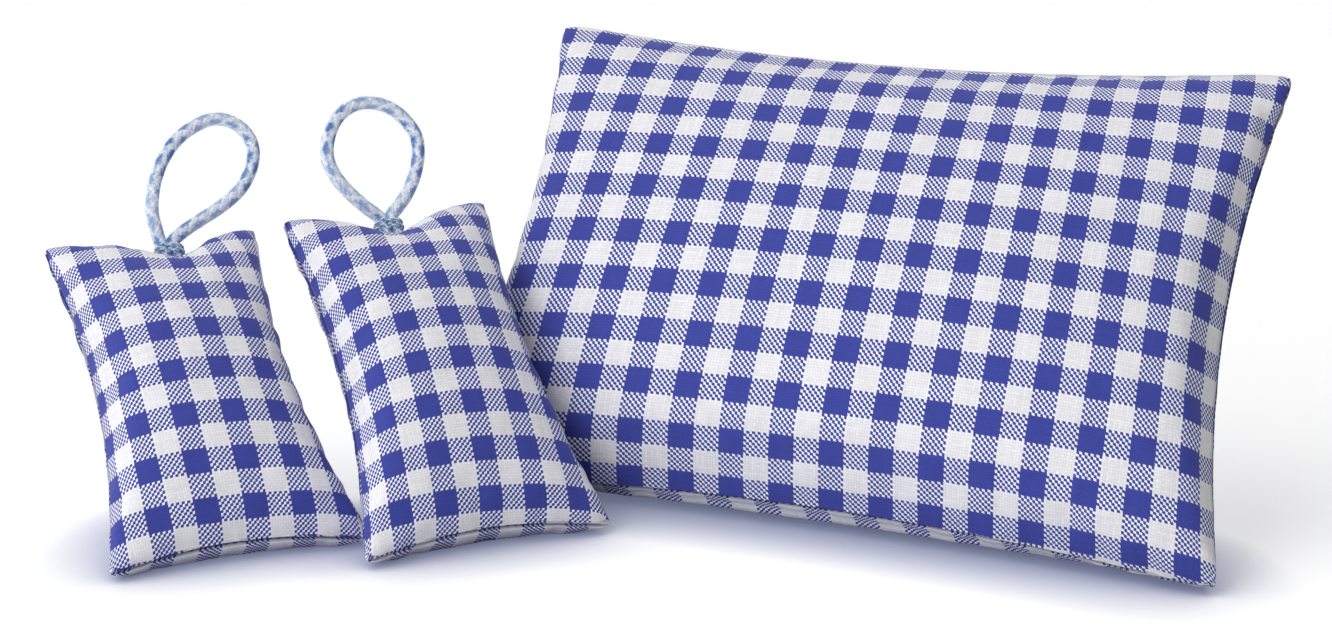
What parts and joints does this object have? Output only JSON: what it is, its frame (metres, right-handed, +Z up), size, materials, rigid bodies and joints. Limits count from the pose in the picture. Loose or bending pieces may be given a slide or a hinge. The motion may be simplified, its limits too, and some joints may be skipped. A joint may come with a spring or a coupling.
{
  "type": "lavender sachet set",
  "caption": "Gingham cotton lavender set: small hanging sachets with braided cord loops beside a large lavender pillow, each sewn from two panels and filled with dried buds.",
  "frame": {"origin": "under the middle of the set's box, on the table", "axes": "+X to the right along the set, +Y to the back, +Z up; the cushions' faces look to -Y"},
  "size_m": [0.5138, 0.2514, 0.1823],
  "materials": {
    "gingham": "matte plain-weave cotton, blue and white gingham with 10 mm squares",
    "lavender": "loose dried lavender buds",
    "thread": "dark blue sewing thread",
    "cord": "round braid of white, pale blue and mid blue yarns",
    "tack_thread": "light blue sewing thread"
  },
  "bodies": {
    "cushions": {"pillow_front_panel": "gingham", "pillow_back_panel": "gingham", "pillow_lavender_fill": "lavender", "pillow_seam_thread": "thread", "pillow_closing_stitch": "thread", "right_front_panel": "gingham", "right_back_panel": "gingham", "right_lavender_fill": "lavender", "right_seam_thread": "thread", "right_closing_stitch": "thread", "right_cord_ends": "cord", "right_loop_tack": "tack_thread", "left_front_panel": "gingham", "left_back_panel": "gingham", "left_lavender_fill": "lavender", "left_seam_thread": "thread", "left_closing_stitch": "thread", "left_cord_ends": "cord", "left_loop_tack": "tack_thread"},
    "right_loop": {"right_hanging_loop": "cord"},
    "left_loop": {"left_hanging_loop": "cord"}
  },
  "joints": [
    {"name": "right_loop_bend", "type": "hinge", "parent": "cushions", "child": "right_loop", "pos_m": [-0.11601, 0.03045, 0.11451], "axis": [0.9026, 0.4305, 0], "range_deg": [-110, 70], "stiffness_Nm_per_rad": 0.01},
    {"name": "left_loop_bend", "type": "hinge", "parent": "cushions", "child": "left_loop", "pos_m": [-0.20884, 0.02693, 0.10402], "axis": [0.91, 0.4147, 0], "range_deg": [-110, 70], "stiffness_Nm_per_rad": 0.01}
  ]
}
